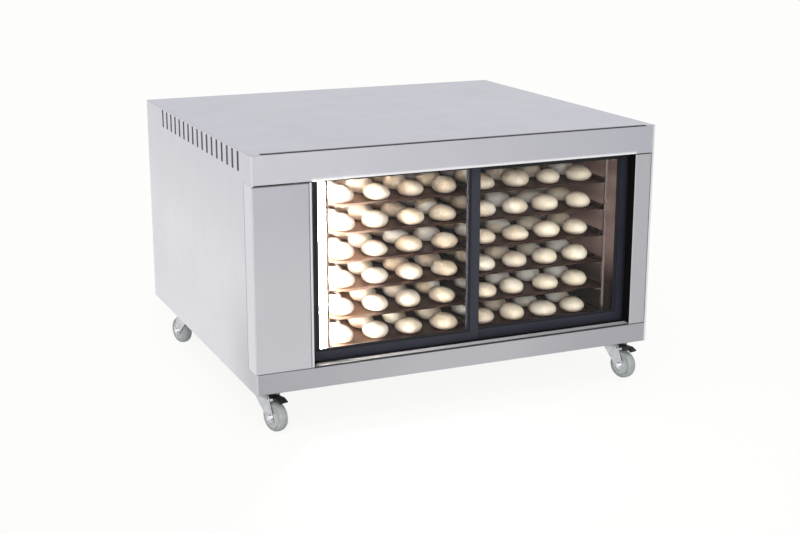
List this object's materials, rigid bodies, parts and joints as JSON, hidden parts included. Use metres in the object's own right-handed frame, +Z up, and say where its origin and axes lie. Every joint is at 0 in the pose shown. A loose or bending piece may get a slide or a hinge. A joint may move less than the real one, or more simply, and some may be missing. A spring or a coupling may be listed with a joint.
{
  "type": "proofing cabinet",
  "caption": "Low stainless proofing cabinet on swivel castors, with sliding glass doors, tray racks full of flared trays, and a side compartment with fan, heaters and vent slots.",
  "frame": {"origin": "on the floor under the middle of the cabinet's outline", "axes": "+X to the right seen from the front, +Y to the back, +Z up; the front faces -Y"},
  "size_m": [1.15, 1.02, 0.732],
  "materials": {
    "stainless": "fine brushed",
    "liner_steel": "bright",
    "slate_frame": "dark satin",
    "glass": "clear",
    "tray_metal": "satin",
    "lamp_white": "opal",
    "zinc": "bright zinc plated",
    "grey_rubber": "matt",
    "dark_plastic": "matt",
    "brass": "plain",
    "heater_steel": "heat darkened",
    "motor_grey": "satin",
    "control_grey": "satin"
  },
  "bodies": {
    "cabinet": {"base_pan": "stainless", "top_panel": "stainless", "front_fascia": "stainless", "left_side_panel": "stainless", "service_cover": "stainless", "left_jamb": "stainless", "right_side_panel": "stainless", "right_post": "stainless", "back_panel": "stainless", "door_sill": "stainless", "upper_track": "liner_steel", "lower_track": "liner_steel", "chamber_floor": "liner_steel", "chamber_ceiling": "liner_steel", "chamber_right_wall": "liner_steel", "chamber_back_wall": "liner_steel", "duct_wall": "liner_steel", "air_baffle": "liner_steel", "left_tray_rack": "liner_steel", "centre_tray_rack": "liner_steel", "right_tray_rack": "liner_steel", "evaporator_pan": "liner_steel", "left_tray_1": "tray_metal", "right_tray_1": "tray_metal", "left_tray_2": "tray_metal", "right_tray_2": "tray_metal", "left_tray_3": "tray_metal", "right_tray_3": "tray_metal", "left_tray_4": "tray_metal", "right_tray_4": "tray_metal", "left_tray_5": "tray_metal", "right_tray_5": "tray_metal", "left_tray_6": "tray_metal", "right_tray_6": "tray_metal", "chamber_lamp": "lamp_white", "air_heater": "heater_steel", "steam_heater": "heater_steel", "fan_motor": "motor_grey", "control_unit": "control_grey", "cable_gland": "dark_plastic", "water_inlet": "brass", "front_left_castor_plate": "zinc", "front_right_castor_plate": "zinc", "rear_left_castor_plate": "zinc", "rear_right_castor_plate": "zinc"},
    "left_door": {"left_door_frame": "slate_frame", "left_door_glass": "glass"},
    "right_door": {"right_door_frame": "slate_frame", "right_door_glass": "glass"},
    "fan": {"fan_wheel": "liner_steel"},
    "front_left_fork": {"front_left_castor_fork": "zinc"},
    "front_left_wheel": {"front_left_castor_wheel": "grey_rubber"},
    "front_left_pedal": {"front_left_castor_brake_pedal": "dark_plastic"},
    "front_right_fork": {"front_right_castor_fork": "zinc"},
    "front_right_wheel": {"front_right_castor_wheel": "grey_rubber"},
    "front_right_pedal": {"front_right_castor_brake_pedal": "dark_plastic"},
    "rear_left_fork": {"rear_left_castor_fork": "zinc"},
    "rear_left_wheel": {"rear_left_castor_wheel": "grey_rubber"},
    "rear_right_fork": {"rear_right_castor_fork": "zinc"},
    "rear_right_wheel": {"rear_right_castor_wheel": "grey_rubber"}
  },
  "joints": [
    {"name": "left_door_slide", "type": "slide", "parent": "cabinet", "child": "left_door", "axis": [1, 0, 0], "range_m": [0, 0.46045]},
    {"name": "right_door_slide", "type": "slide", "parent": "cabinet", "child": "right_door", "axis": [-1, 0, 0], "range_m": [0, 0.46045]},
    {"name": "fan_spin", "type": "hinge", "parent": "cabinet", "child": "fan", "pos_m": [-0.451, -0.01, 0.44705], "axis": [1, 0, 0], "continuous": true},
    {"name": "front_left_swivel", "type": "hinge", "parent": "cabinet", "child": "front_left_fork", "pos_m": [-0.523, -0.432, 0.09945], "axis": [0, 0, 1], "continuous": true},
    {"name": "front_left_wheel_spin", "type": "hinge", "parent": "front_left_fork", "child": "front_left_wheel", "pos_m": [-0.5116, -0.46509, 0.03975], "axis": [0.9455, 0.3256, 0], "continuous": true},
    {"name": "front_left_brake", "type": "hinge", "parent": "front_left_fork", "child": "front_left_pedal", "pos_m": [-0.51453, -0.45658, 0.09045], "axis": [0.9455, 0.3256, 0], "range_deg": [0, 12]},
    {"name": "front_right_swivel", "type": "hinge", "parent": "cabinet", "child": "front_right_fork", "pos_m": [0.523, -0.432, 0.09945], "axis": [0, 0, 1], "continuous": true},
    {"name": "front_right_wheel_spin", "type": "hinge", "parent": "front_right_fork", "child": "front_right_wheel", "pos_m": [0.53323, -0.46547, 0.03975], "axis": [0.9563, 0.2924, 0], "continuous": true},
    {"name": "front_right_brake", "type": "hinge", "parent": "front_right_fork", "child": "front_right_pedal", "pos_m": [0.5306, -0.45686, 0.09045], "axis": [0.9563, 0.2924, 0], "range_deg": [0, 12]},
    {"name": "rear_left_swivel", "type": "hinge", "parent": "cabinet", "child": "rear_left_fork", "pos_m": [-0.523, 0.327, 0.09945], "axis": [0, 0, 1], "continuous": true},
    {"name": "rear_left_wheel_spin", "type": "hinge", "parent": "rear_left_fork", "child": "rear_left_wheel", "pos_m": [-0.53323, 0.36047, 0.03975], "axis": [-0.9563, -0.2924, 0], "continuous": true},
    {"name": "rear_right_swivel", "type": "hinge", "parent": "cabinet", "child": "rear_right_fork", "pos_m": [0.523, 0.327, 0.09945], "axis": [0, 0, 1], "continuous": true},
    {"name": "rear_right_wheel_spin", "type": "hinge", "parent": "rear_right_fork", "child": "rear_right_wheel", "pos_m": [0.51813, 0.36166, 0.03975], "axis": [-0.9903, -0.1392, 0], "continuous": true}
  ]
}
